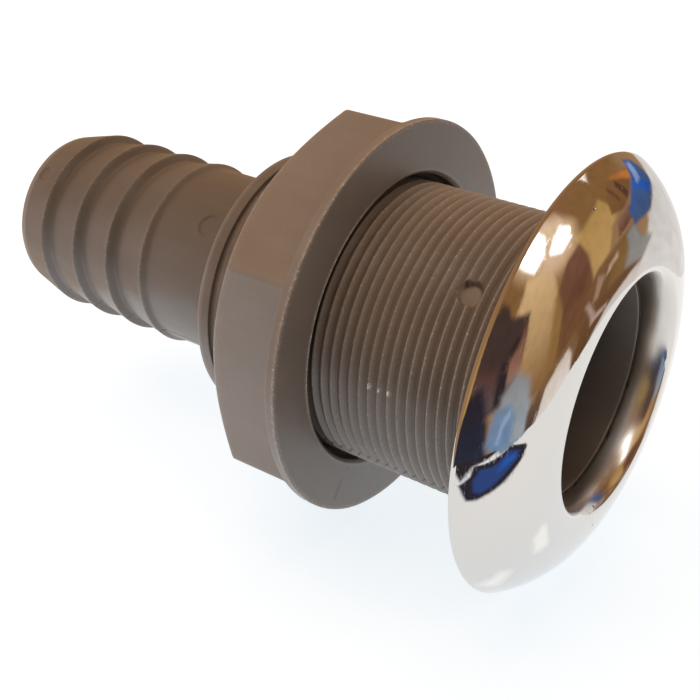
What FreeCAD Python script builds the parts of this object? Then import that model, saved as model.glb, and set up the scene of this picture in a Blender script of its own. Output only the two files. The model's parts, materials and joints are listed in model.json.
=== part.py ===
import FreeCAD, Part
import math
import os

# Thru-hull fitting: a hose tail and threaded barrel moulded in one piece, a flanged
# hex nut that screws along the barrel, and a pressed stainless trim cap over the
# body's outer flange.
#
# Frame, in millimetres: +X runs along the waterway and points outboard, +Z is up,
# and the origin is the centre of the plane in which the cap and flange bear on the hull.
# Profiles are drawn as (x, radius) and turned about the X axis.

# ---------------------------------------------------------------- driving dimensions

THREAD_RADIUS = 29.2          # over the crests of the barrel's thread
THREAD_PITCH = 25.4 / 12      # twelve threads to the inch
THREAD_DEPTH = 0.95
THREAD_CREST_WIDTH = 0.3
THREAD_FLANK = math.radians(30)
THREAD_CLEARANCE = 0.2        # radial gap between the barrel's thread and the nut's
THREAD_SINK = 0.3             # how far a swept ridge is rooted in the wall behind it
NUT_CREST_WIDTH = 0.3

HOSE_RADIUS = 19.05           # 38.1 mm hose: the barbs' roots
BARB_CREST_RADIUS = 20.85
BARB_COUNT = 4
BARB_PITCH = 10.25
BARB_BACK_LENGTH = 1.35       # axial length of the steep side of a barb
TAIL_TIP_RADIUS = 18.35
TAIL_TIP_ROUND = 0.8
TAIL_BORE_RADIUS = 15.8
NECK_RADIUS = 19.9

TAIL_TIP_X = -131.8
FIRST_CREST_X = -121.9
BARREL_END_X = -68.0
BARREL_END_ROUND = 0.6
RELIEF_START_X = -65.0        # a plain collar ends in a relief groove, and the thread follows
RELIEF_RADIUS = 27.4
THREAD_START_X = -63.4
THREAD_RUNOUT_X = -1.2        # the thread stops just short of the flange
THREAD_FADE_LENGTH = 1.5      # axial length over which the thread fades at both its ends
THREAD_PHASE_X = -69.5        # one point where a crest stands straight below the axis

BARREL_BORE_RADIUS = 22.0
BORE_TAPER_START_X = -48.0
BORE_TAPER_END_X = -63.0

CAP_RIM_RADIUS = 43.4
CAP_HEIGHT = 11.7
CAP_CROWN_RADIUS = 24.0       # about which the dome's section is struck
CAP_MOUTH_RADIUS = 24.8       # where the dome turns over into the opening
CAP_SHEET = 0.9
CAP_HEM_RADIUS = 41.2         # inner edge of the hem folded behind the flange
CAP_LIP_END_X = 5.1
CAP_LIP_RADIUS = 22.2
CAP_CLEARANCE = 0.15          # between the cap and the flange that it covers

NUT_FRONT_X = -37.75
NUT_FLANGE_RADIUS = 41.5
NUT_FLANGE_THICKNESS = 2.0
NUT_CORNER_RADIUS = 41.75
NUT_CORNER_END_X = -52.4      # where the rear cone meets the hexagon's corners
NUT_CONE_SLOPE = 0.756        # axial rise of the rear cone for each unit of radius
NUT_BORE_CHAMFER = 1.2
NUT_COUNTERBORE_RADIUS = 30.6
NUT_COUNTERBORE_DEPTH = 3.0
NUT_COUNTERBORE_CHAMFER = 0.7
NUT_PHASE = -2.6              # where the first corner stands, degrees from +Z towards -Y
HEX_SIDES = 6

MARK_ANGLE = 39.0             # round mould marks, degrees from +Z towards -Y
MARK_DEPTH = 0.25
THREAD_MARK_SINK = 0.06       # the mark on the thread is a flat just below the roots
BARB_MARK_X = -127.3
NECK_MARK_X = -77.1
THREAD_MARK_X = -11.6
BARB_MARK_RADIUS = 1.9
NECK_MARK_RADIUS = 2.6
THREAD_MARK_RADIUS = 2.3

EXTRA = 5.0                   # how far cutting solids run past what they cut
HAIR = 0.01                   # keeps a trimming surface off the surface it would touch


# ---------------------------------------------------------------- drawing helpers

def at(x, radius):
    return FreeCAD.Vector(x, 0, radius)


def line(start, end):
    return Part.LineSegment(at(*start), at(*end)).toShape()


def lines(points):
    return [line(a, b) for a, b in zip(points, points[1:])]


def arc(start, middle, end):
    return Part.Arc(at(*start), at(*middle), at(*end)).toShape()


def turned(edges):
    """Solid of revolution about X from a closed chain of edges."""
    face = Part.Face(Part.Wire(edges))
    return face.revolve(FreeCAD.Vector(0, 0, 0), FreeCAD.Vector(1, 0, 0), 360)


def turned_polygon(points):
    return turned(lines(points + points[:1]))


def dome_arc(inset, start_x):
    """Part of the cap's domed section, an inset inside its face, from start_x to the mouth."""
    rise = CAP_HEIGHT - CAP_SHEET
    reach = CAP_RIM_RADIUS - CAP_CROWN_RADIUS
    face_radius = (rise ** 2 + reach ** 2) / (2 * rise)
    centre_x = CAP_HEIGHT - face_radius
    radius = face_radius - inset
    start_angle = math.acos((start_x - centre_x) / radius)
    end_angle = math.asin((CAP_MOUTH_RADIUS - CAP_CROWN_RADIUS) / radius)
    start, middle, end = [
        (centre_x + radius * math.cos(angle), CAP_CROWN_RADIUS + radius * math.sin(angle))
        for angle in (start_angle, 0.5 * (start_angle + end_angle), end_angle)]
    return start, end, arc(start, middle, end)


def lip_arc(start, end_radius):
    """Quarter ellipse, longer along the axis, from the mouth down into the opening."""
    crown = at(*start)
    end = at(CAP_LIP_END_X, end_radius)
    ellipse = Part.Ellipse(crown, end, at(CAP_LIP_END_X, start[1]))
    return Part.Edge(ellipse, ellipse.parameter(crown), ellipse.parameter(end))


def outward(angle):
    """Unit vector square to the axis, at an angle in degrees from +Z towards -Y."""
    tilt = math.radians(angle)
    return FreeCAD.Vector(0, -math.sin(tilt), math.cos(tilt))


def radial_rod(x, angle, radius, low, high):
    """Rod that points outwards between two distances from the axis."""
    direction = outward(angle)
    foot = FreeCAD.Vector(x, 0, 0) + direction * low
    return Part.makeCylinder(radius, high - low, foot, direction)


# ---------------------------------------------------------------- screw thread

def helical_ridge(profile, start_x, end_x):
    """Ridge swept along a right-hand helix; profile is (axial offset, radius)."""
    helix = Part.makeLongHelix(THREAD_PITCH, end_x - start_x, THREAD_RADIUS, 0, False)
    corners = [FreeCAD.Vector(radius, 0, offset) for offset, radius in profile]
    section = Part.makePolygon(corners + corners[:1])
    ridge = Part.Wire(helix.Edges).makePipeShell([section], True, True)
    ridge.rotate(FreeCAD.Vector(0, 0, 0), FreeCAD.Vector(0, 1, 0), 90)
    ridge.translate(FreeCAD.Vector(start_x, 0, 0))
    return ridge


def body_thread():
    root = THREAD_RADIUS - THREAD_DEPTH
    sunk = root - THREAD_SINK
    crest_half = THREAD_CREST_WIDTH / 2
    base_half = crest_half + (THREAD_RADIUS - sunk) * math.tan(THREAD_FLANK)
    profile = [(-base_half, sunk), (-crest_half, THREAD_RADIUS),
               (crest_half, THREAD_RADIUS), (base_half, sunk)]
    ridge = helical_ridge(profile, THREAD_PHASE_X, 0.0)
    # Both ends fade into the barrel along cones that pass below its surface.
    fade = sunk - THREAD_SINK
    over = THREAD_RADIUS + HAIR
    under = fade - EXTRA
    return ridge.common(turned_polygon([
        (THREAD_START_X, under),
        (THREAD_START_X, fade),
        (THREAD_START_X + THREAD_FADE_LENGTH, over),
        (THREAD_RUNOUT_X - THREAD_FADE_LENGTH, over),
        (THREAD_RUNOUT_X, fade),
        (THREAD_RUNOUT_X, under)]))


def nut_thread():
    valley = THREAD_RADIUS + THREAD_CLEARANCE
    crest = valley - THREAD_DEPTH
    crest_half = NUT_CREST_WIDTH / 2
    sunk = valley + THREAD_SINK
    base_half = crest_half + (sunk - crest) * math.tan(THREAD_FLANK)
    profile = [(-base_half, sunk), (-crest_half, crest), (crest_half, crest), (base_half, sunk)]
    # Half a pitch along from the barrel's ridge, so that it runs in the barrel's groove.
    return helical_ridge(profile, THREAD_PHASE_X + THREAD_PITCH / 2, NUT_FRONT_X + 2 * THREAD_PITCH)


# ---------------------------------------------------------------- the three pieces

def make_trim_cap():
    hem_corner = CAP_RIM_RADIUS - CAP_SHEET
    knee = CAP_SHEET * (1 - math.sqrt(0.5))
    rim, mouth, outer_dome = dome_arc(0.0, CAP_SHEET)
    inner_start, inner_mouth, inner_dome = dome_arc(CAP_SHEET, CAP_SHEET)
    edges = [
        line((0, CAP_HEM_RADIUS), (0, hem_corner)),
        arc((0, hem_corner), (knee, CAP_RIM_RADIUS - knee), rim),
        outer_dome,
        lip_arc(mouth, CAP_LIP_RADIUS),
        line((CAP_LIP_END_X, CAP_LIP_RADIUS), (CAP_LIP_END_X, CAP_LIP_RADIUS + CAP_SHEET)),
        lip_arc(inner_mouth, CAP_LIP_RADIUS + CAP_SHEET),
        inner_dome,
        line(inner_start, (CAP_SHEET, CAP_HEM_RADIUS)),
        line((CAP_SHEET, CAP_HEM_RADIUS), (0, CAP_HEM_RADIUS)),
    ]
    return turned(Part.sortEdges(edges)[0])


def barb_points():
    points = [(TAIL_TIP_X + TAIL_TIP_ROUND, TAIL_TIP_RADIUS)]
    for index in range(BARB_COUNT):
        crest_x = FIRST_CREST_X + index * BARB_PITCH
        last = index == BARB_COUNT - 1
        points.append((crest_x, BARB_CREST_RADIUS))
        points.append((crest_x + BARB_BACK_LENGTH, NECK_RADIUS if last else HOSE_RADIUS))
    return points


def make_threaded_body():
    root = THREAD_RADIUS - THREAD_DEPTH
    tip_corner = TAIL_TIP_RADIUS - TAIL_TIP_ROUND
    knee = TAIL_TIP_ROUND * (1 - math.sqrt(0.5))
    outside = lines(barb_points() + [
        (BARREL_END_X, NECK_RADIUS),
        (BARREL_END_X, root - BARREL_END_ROUND),
        (BARREL_END_X + BARREL_END_ROUND, root),
        (RELIEF_START_X, root), (RELIEF_START_X, RELIEF_RADIUS),
        (THREAD_START_X, RELIEF_RADIUS), (THREAD_START_X, root), (0, root),
        (0, CAP_HEM_RADIUS - CAP_CLEARANCE),
        (CAP_SHEET + CAP_CLEARANCE, CAP_HEM_RADIUS - CAP_CLEARANCE)])

    gap = CAP_SHEET + CAP_CLEARANCE
    dome_start, mouth, dome = dome_arc(gap, gap)
    pocket_x = CAP_LIP_END_X - CAP_CLEARANCE
    pocket_radius = CAP_LIP_RADIUS + gap
    edges = outside + [
        line((gap, CAP_HEM_RADIUS - CAP_CLEARANCE), dome_start), dome, lip_arc(mouth, pocket_radius),
        arc((TAIL_TIP_X, tip_corner), (TAIL_TIP_X + knee, TAIL_TIP_RADIUS - knee),
            (TAIL_TIP_X + TAIL_TIP_ROUND, TAIL_TIP_RADIUS))]
    edges += lines([
        (CAP_LIP_END_X, pocket_radius),
        (pocket_x, pocket_radius), (pocket_x, BARREL_BORE_RADIUS),
        (BORE_TAPER_START_X, BARREL_BORE_RADIUS), (BORE_TAPER_END_X, TAIL_BORE_RADIUS),
        (TAIL_TIP_X, TAIL_BORE_RADIUS), (TAIL_TIP_X, tip_corner)])
    body = turned(Part.sortEdges(edges)[0])

    barb_slope = (BARB_CREST_RADIUS - TAIL_TIP_RADIUS) / (FIRST_CREST_X - TAIL_TIP_X)
    barb_mark_surface = TAIL_TIP_RADIUS + barb_slope * (BARB_MARK_X - TAIL_TIP_X)
    for x, surface, radius in ((BARB_MARK_X, barb_mark_surface, BARB_MARK_RADIUS),
                               (NECK_MARK_X, NECK_RADIUS, NECK_MARK_RADIUS)):
        body = body.cut(radial_rod(x, MARK_ANGLE, radius, surface - MARK_DEPTH, surface + EXTRA))
    body = body.fuse(body_thread())
    return body.cut(radial_rod(THREAD_MARK_X, MARK_ANGLE, THREAD_MARK_RADIUS,
                               root - THREAD_MARK_SINK, root + EXTRA))


def make_lock_nut():
    valley = THREAD_RADIUS + THREAD_CLEARANCE
    ridge_low = valley - THREAD_DEPTH - THREAD_SINK
    ridge_high = valley + THREAD_SINK / 2
    rear_bore = valley + NUT_BORE_CHAMFER
    rear_x = NUT_CORNER_END_X - (NUT_CORNER_RADIUS - rear_bore) * NUT_CONE_SLOPE
    bore_end_x = rear_x + NUT_BORE_CHAMFER
    counterbore_x = NUT_FRONT_X - NUT_COUNTERBORE_DEPTH
    bore_front_x = counterbore_x - (NUT_COUNTERBORE_RADIUS - valley)
    flange_back = NUT_FRONT_X - NUT_FLANGE_THICKNESS
    beyond = NUT_CORNER_RADIUS + EXTRA

    hexagon = [outward(NUT_PHASE + 360 / HEX_SIDES * k) * NUT_CORNER_RADIUS for k in range(HEX_SIDES)]
    hexagon_face = Part.Face(Part.makePolygon(hexagon + hexagon[:1]))
    hexagon_face.translate(FreeCAD.Vector(rear_x - EXTRA, 0, 0))
    prism = hexagon_face.extrude(FreeCAD.Vector(flange_back - rear_x + EXTRA, 0, 0))
    flange = turned_polygon([
        (flange_back, valley - EXTRA), (flange_back, NUT_FLANGE_RADIUS),
        (NUT_FRONT_X, NUT_FLANGE_RADIUS), (NUT_FRONT_X, valley - EXTRA)])
    envelope = turned_polygon([
        (bore_end_x, valley), (rear_x, rear_bore),
        (NUT_CORNER_END_X, NUT_CORNER_RADIUS), (NUT_CORNER_END_X + EXTRA, beyond),
        (NUT_FRONT_X, beyond), (NUT_FRONT_X, NUT_COUNTERBORE_RADIUS + NUT_COUNTERBORE_CHAMFER),
        (NUT_FRONT_X - NUT_COUNTERBORE_CHAMFER, NUT_COUNTERBORE_RADIUS),
        (counterbore_x, NUT_COUNTERBORE_RADIUS), (bore_front_x, valley)])
    shell = prism.fuse(flange).common(envelope)
    ridge = nut_thread().common(turned_polygon([
        (bore_end_x, ridge_low), (bore_end_x, ridge_high),
        (bore_front_x, ridge_high), (bore_front_x, ridge_low)]))
    return shell.fuse(ridge).removeSplitter()


# ---------------------------------------------------------------- output

PIECES = {
    "trim_cap": make_trim_cap,
    "threaded_body": make_threaded_body,
    "lock_nut": make_lock_nut,
}

os.makedirs("parts", exist_ok=True)
for name, make in PIECES.items():
    solid = make()
    print(name, "solids", len(solid.Solids), "valid", solid.isValid(), "volume", round(solid.Volume))
    solid.exportStep("parts/" + name + ".step")
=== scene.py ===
import json
import math

import bpy
import numpy as np
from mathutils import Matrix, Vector, noise


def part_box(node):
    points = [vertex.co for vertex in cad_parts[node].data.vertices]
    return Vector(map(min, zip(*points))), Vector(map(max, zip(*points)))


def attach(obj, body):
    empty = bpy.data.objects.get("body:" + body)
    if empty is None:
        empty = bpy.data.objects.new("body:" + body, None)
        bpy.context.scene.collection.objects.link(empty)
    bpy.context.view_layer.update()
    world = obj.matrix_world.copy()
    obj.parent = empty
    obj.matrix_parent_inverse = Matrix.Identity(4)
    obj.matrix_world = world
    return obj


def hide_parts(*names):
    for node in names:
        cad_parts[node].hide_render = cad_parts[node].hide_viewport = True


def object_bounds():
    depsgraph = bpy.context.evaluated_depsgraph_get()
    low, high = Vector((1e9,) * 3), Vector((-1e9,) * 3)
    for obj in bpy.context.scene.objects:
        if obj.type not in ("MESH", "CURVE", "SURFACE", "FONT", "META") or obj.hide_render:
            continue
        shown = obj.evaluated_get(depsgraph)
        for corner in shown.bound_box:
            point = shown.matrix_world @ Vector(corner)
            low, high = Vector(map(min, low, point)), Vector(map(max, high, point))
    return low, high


# Thru-hull fitting. The pieces are drawn in millimetres as turned profiles about the X axis and
# scaled to metres when a mesh is made. Angles round the axis run from +Z towards -Y. The studio
# round them is in metres.

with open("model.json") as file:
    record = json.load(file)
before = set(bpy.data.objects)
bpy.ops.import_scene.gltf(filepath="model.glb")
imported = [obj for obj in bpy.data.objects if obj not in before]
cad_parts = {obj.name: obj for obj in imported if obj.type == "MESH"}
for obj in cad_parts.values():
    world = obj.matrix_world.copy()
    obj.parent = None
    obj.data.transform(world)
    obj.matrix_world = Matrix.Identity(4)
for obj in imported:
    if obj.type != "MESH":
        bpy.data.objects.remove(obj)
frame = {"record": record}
cad_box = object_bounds()

MM = 0.001
TAU = 2 * math.pi

# ------------------------------------------------------------------ sizes shared with the frame

mounts = {mount["name"]: mount["dims"] for mount in frame["record"]["mounts"]}


def cad_corners(node):
    """The lowest and highest corners of a piece of the frame, in millimetres."""
    return [[round(value / MM, 2) for value in corner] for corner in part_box(node)]


THREAD_RADIUS = 29.2
THREAD_PITCH = 25.4 / 12
THREAD_DEPTH = 0.95
THREAD_ROOT = THREAD_RADIUS - THREAD_DEPTH
THREAD_CLEARANCE = 0.2
THREAD_PHASE_X = -69.5        # where a crest stands straight below the axis
THREAD_START_X, THREAD_RUNOUT_X, THREAD_FADE_LENGTH = -63.4, -1.2, 1.5
THREAD_END_X = -0.9           # the helical rows stop here, just short of the flange
RIDGE_HALF_CREST = 0.15
RIDGE_HALF_BASE = 0.70

TAIL_TIP_X, TAIL_TIP_RADIUS = cad_corners("threaded_body")[0][0], 18.35
FIRST_CREST_X, BARB_PITCH, BARB_COUNT = -121.9, 10.25, 4
BARB_CREST_RADIUS, BARB_ROOT_RADIUS, BARB_BACK_LENGTH = 20.85, 19.05, 1.35
NECK_RADIUS = 19.9
TAIL_BORE_RADIUS = mounts["tail_bore"]["r_mm"]
BARREL_BORE_RADIUS = mounts["discharge_bore"]["r_mm"]
BARREL_END_X, RELIEF_START_X, RELIEF_RADIUS = -68.0, -65.0, 27.4
BORE_TAPER_START_X, BORE_TAPER_END_X = -48.0, -63.0

CAP_RIM_RADIUS = cad_corners("trim_cap")[1][2]
CAP_HEIGHT, CAP_CROWN_RADIUS, CAP_MOUTH_RADIUS = 11.7, 24.0, 24.8
CAP_SHEET, CAP_HEM_RADIUS, CAP_CLEARANCE = 0.9, 41.2, 0.15
CAP_LIP_END_X, CAP_LIP_RADIUS, CAP_LIP_RAGGED = 5.1, 22.2, 0.8
HEM_CHAMFER = 0.25

NUT_FRONT_X = cad_corners("lock_nut")[1][0]
NUT_FLANGE_RADIUS, NUT_FLANGE_THICKNESS = 41.5, 2.0
NUT_CORNER_RADIUS, NUT_CORNER_END_X, NUT_CONE_SLOPE = 41.75, -52.4, 0.756
NUT_CORNER_ROUND = 0.9
NUT_BORE_CHAMFER = 1.2
NUT_COUNTERBORE_RADIUS, NUT_COUNTERBORE_DEPTH, NUT_COUNTERBORE_CHAMFER = 30.6, 3.0, 0.7
NUT_PHASE = math.radians(-2.6)        # where the first corner of the hexagon stands
NICK_ANGLE, NICK_DEPTH = math.radians(133), 0.5       # a nick in the flange's rim

PARTING_ANGLE = math.radians(127)     # the mould's parting line, here and straight across
PARTING_DEPTH = 0.13
MARK_ANGLE = math.radians(39)         # round marks left by the mould's pins
BARB_MARK_X, BARB_MARK_RADIUS, BARB_MARK_SKIN = -127.3, 1.9, 19.5     # the skin's radius there
NECK_MARK_X, NECK_MARK_RADIUS = -77.1, 2.6
THREAD_MARK_X, THREAD_MARK_RADIUS, THREAD_MARK_SINK = -11.6, 2.3, 0.5
MARK_SINK = 0.3
TYPICAL_RADIUS = 25                   # at which the noise on the skin is as long as it is wide


# ------------------------------------------------------------------ building meshes

def angle_list(step, stretches):
    """Angles in degrees round the axis, finer inside each (low, high, step) stretch."""
    angles = [a for a in np.arange(0, 360, step)
              if not any(low - fine / 2 < a < high + fine / 2 for low, high, fine in stretches)]
    for low, high, fine in stretches:
        angles += list(np.arange(low, high + fine / 2, fine))
    return np.radians(np.array(sorted(angles)))


def loft(corners, count):
    """Rows along a profile. A corner is (x, radius, fillet, divisions of the run before it)."""
    points = [np.stack([np.broadcast_to(np.asarray(v, float), (count,)) for v in c[:2]]) for c in corners]
    rows = [points[0]]
    for index in range(1, len(corners)):
        fillet, divisions = corners[index][2:]
        here = points[index]
        last = index == len(corners) - 1
        if fillet and not last:
            back = points[index - 1] - here
            on = points[index + 1] - here
            back_length = np.linalg.norm(back, axis=0)
            on_length = np.linalg.norm(on, axis=0)
            # Two neighbouring fillets share the run between them.
            cut = np.minimum(fillet, 0.48 * np.minimum(back_length, on_length))
            start = here + back / back_length * cut
            end = here + on / on_length * cut
        else:
            start = end = here
        origin = rows[-1]
        for step in range(1, divisions + 1):
            rows.append(origin + (start - origin) * (step / divisions))
        if fillet and not last:
            for t in (0.2, 0.4, 0.6, 0.8, 1.0):
                rows.append(start * (1 - t) ** 2 + here * 2 * t * (1 - t) + end * t ** 2)
    return np.array(rows)


class Shell:
    """Vertices as rows round the axis, each row one point per angle, and the faces between rows."""

    def __init__(self, angles):
        self.angles = angles
        self.count = len(angles)
        self.places = []
        self.faces = []
        self.total = 0

    def ring(self, x, radius):
        """One row of points. Returns the number of its first vertex."""
        x, radius = np.broadcast_arrays(np.asarray(x, float), np.asarray(radius, float))
        y, z = -radius * np.sin(self.angles), radius * np.cos(self.angles)
        self.places.append(np.stack([x, y, z], axis=-1))
        start = self.total
        self.total += self.count
        return start

    def rings(self, rows):
        """Joined rows. Returns the first vertex of the first and the last."""
        starts = [self.ring(row[0], row[1]) for row in rows]
        for low, high in zip(starts, starts[1:]):
            self.join(low, high)
        return starts[0], starts[-1]

    def join(self, low, high):
        """Faces between two rows."""
        n = self.count
        self.faces += [(low + j, high + j, high + (j + 1) % n, low + (j + 1) % n) for j in range(n)]

    def screw(self, low, high, low_x, high_x, first, surface):
        """Helical rows between two rings; first is where a ridge's foot crosses angle 0."""
        n = self.count
        turns = math.ceil((high_x - first) / THREAD_PITCH) + 1
        spread = 0.08         # keeps rows apart where the helix runs past either ring

        def foot(turn):
            """Axial place of a ridge's foot after a number of turns, held between the rings."""
            true = first + THREAD_PITCH * turn
            return np.minimum(np.maximum(true, low_x + spread * (1 + turn)),
                              high_x - spread * (2 + turns - turn))

        # The rows of one ridge: its foot, the crest's two edges with two rows between, and the
        # foot of its far flank. Each is a share of the pitch.
        half, crest = RIDGE_HALF_BASE, RIDGE_HALF_CREST
        flank = half - crest
        offsets = np.array([0, flank, half - crest * 0.4, half + crest * 0.4, half + crest,
                            half * 2]) / THREAD_PITCH
        starts = []
        for turn in range(turns):
            here = turn + self.angles / TAU
            rows = []
            for share in offsets:
                x = foot(here) * (1 - share) + foot(here + 1) * share
                rows.append(self.ring(x, surface(x, self.angles)))
            starts.append(rows)
        top_x = foot(turns + self.angles / TAU)
        top = self.ring(top_x, surface(top_x, self.angles))
        starts.append([top])

        def next_up(turn, k):
            return starts[turn][k + 1] if k + 1 < len(starts[turn]) else starts[turn + 1][0]

        for turn in range(turns):
            for k in range(len(offsets)):
                here, above = starts[turn][k], next_up(turn, k)
                self.faces += [(here + j, above + j, above + j + 1, here + j + 1) for j in range(n - 1)]
                if turn < turns - 1:
                    over, over_above = starts[turn + 1][k], next_up(turn + 1, k)
                    self.faces.append((here + n - 1, above + n - 1, over_above, over))
        # A level ring closes each end of the helix. Where its first turn begins and its last one
        # ends, one many-sided face fills the step of a pitch.
        bottom = starts[0][0]
        seam_low = starts[0] + [starts[1][0]]
        seam_high = [start + n - 1 for start in starts[turns - 1] + [top]]
        self.faces += [(low + j, bottom + j, bottom + j + 1, low + j + 1) for j in range(n - 1)]
        self.faces.append((low + n - 1, bottom + n - 1, *reversed(seam_low), low))
        self.faces += [(top + j, high + j, high + j + 1, top + j + 1) for j in range(n - 1)]
        self.faces.append((*seam_high, high + n - 1, high, top))

    def finish(self, name):
        """The shell as a smooth object in metres, and its mesh."""
        places = np.concatenate(self.places) * MM
        mesh = bpy.data.meshes.new(name)
        mesh.from_pydata(places.tolist(), [], self.faces)
        mesh.validate()
        mesh.update()
        obj = bpy.data.objects.new(name, mesh)
        bpy.context.collection.objects.link(obj)
        for polygon in mesh.polygons:
            polygon.use_smooth = True
        return obj, mesh


def smooth(value, low, high):
    """0 below low and 1 above high, with a soft rise between."""
    t = np.clip((value - low) / (high - low), 0, 1)
    return t * t * (3 - 2 * t)


def wander(x, angle, size, seed):
    """Smooth noise on the turned surface, about one unit high."""
    spots = np.stack([np.broadcast_to(x, angle.shape) / size, np.sin(angle) * TYPICAL_RADIUS / size,
                      np.cos(angle) * TYPICAL_RADIUS / size], axis=-1)
    return np.array([noise.noise(Vector(p) + Vector((seed, seed, seed))) for p in spots])


def ridge_height(x, angle, crest_at):
    """Ridge with straight flanks on a right-hand helix, from 0 at the root to 1 at the crest."""
    phase = (x - crest_at - THREAD_PITCH * (angle - math.pi) / TAU) / THREAD_PITCH
    away = np.abs(phase - np.round(phase)) * THREAD_PITCH
    return np.clip((RIDGE_HALF_BASE - away) / (RIDGE_HALF_BASE - RIDGE_HALF_CREST), 0, 1)


def first_foot(crest_x, start_x):
    """Where the last ridge foot before start_x stands at angle 0, with one crest at crest_x."""
    foot = crest_x - RIDGE_HALF_BASE
    return foot + THREAD_PITCH * math.floor((start_x - foot) / THREAD_PITCH)


def off_angle(angle, centre):
    """Signed difference of two angles, from minus half a turn to half a turn."""
    return (angle - centre + math.pi) % TAU - math.pi


# ------------------------------------------------------------------ threaded body

def round_mark(x, angle, radius, centre_x, mark_radius):
    """1 inside a round mark on the skin and 0 outside it."""
    across = np.hypot(x - centre_x, off_angle(angle, MARK_ANGLE) * radius)
    return 1 - smooth(across, mark_radius - 0.2, mark_radius + 0.1)


def from_parting(angle, radius):
    """Distance along the skin to the nearer of the two parting lines."""
    return radius * np.minimum(np.abs(off_angle(angle, PARTING_ANGLE)),
                               np.abs(off_angle(angle, PARTING_ANGLE - math.pi)))


def skin(rows, angles):
    """The tail's outside with its mould marks, parting line and slight unevenness."""
    for row in rows:
        x, radius = row
        # The bore and the tip's inner edge stay round.
        outside = (radius > TAIL_BORE_RADIUS + 1.7) & (x < BARREL_END_X + 0.1)
        change = -PARTING_DEPTH * (1 - smooth(from_parting(angles, radius), 0.1, 0.45))
        change = change - MARK_SINK * round_mark(x, angles, radius, NECK_MARK_X, NECK_MARK_RADIUS)
        change = change - MARK_SINK * round_mark(x, angles, radius, BARB_MARK_X, BARB_MARK_RADIUS)
        change = change + 0.03 * wander(x, angles, 6.0, 3.0)
        row[1] = np.where(outside, radius + change, radius)
    return rows


def barrel_surface(x, angle):
    """Radius of the barrel: the thread, flattened along the parting lines and at the round mark."""
    rise = ridge_height(x, angle, THREAD_PHASE_X)
    plug = round_mark(x, angle, THREAD_ROOT, THREAD_MARK_X, THREAD_MARK_RADIUS)
    rise = rise * (1 - 0.4 * (1 - smooth(from_parting(angle, THREAD_RADIUS), 0.15, 0.6)))
    rise = rise * (0.97 + 0.03 * wander(x, angle, 2.5, 11.0))
    from_end = np.minimum(x - THREAD_START_X, THREAD_RUNOUT_X - x) / THREAD_FADE_LENGTH
    faded = np.minimum(THREAD_DEPTH * rise, np.maximum(THREAD_DEPTH * from_end, 0))
    sunk = THREAD_MARK_SINK * plug * smooth(x, THREAD_START_X, THREAD_START_X + 1)
    return THREAD_ROOT + faded * (1 - plug) - sunk


def dome(gap, start_x, steps):
    """Points along the cap's dome, a gap inside its outer face, from start_x up to the mouth.

    The face is one arc that lies level at the crown and meets the rim where the roll begins.
    """
    rise, reach = CAP_HEIGHT - CAP_SHEET, CAP_RIM_RADIUS - CAP_CROWN_RADIUS
    arc_radius = (rise ** 2 + reach ** 2) / (2 * rise)
    centre_x, radius = CAP_HEIGHT - arc_radius, arc_radius - gap
    first = math.acos((start_x - centre_x) / radius)
    last = math.asin((CAP_MOUTH_RADIUS - CAP_CROWN_RADIUS) / radius)
    return [(centre_x + radius * math.cos(a), CAP_CROWN_RADIUS + radius * math.sin(a))
            for a in np.linspace(first, last, steps + 1)]


def lip(start, end_radius, steps):
    """Points from the end of the dome into the opening, along a quarter ellipse."""
    axial, radial = start[0] - CAP_LIP_END_X, start[1] - end_radius
    return [(CAP_LIP_END_X + axial * math.cos(a), start[1] - radial * math.sin(a))
            for a in np.linspace(0, math.pi / 2, steps + 1)]


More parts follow.
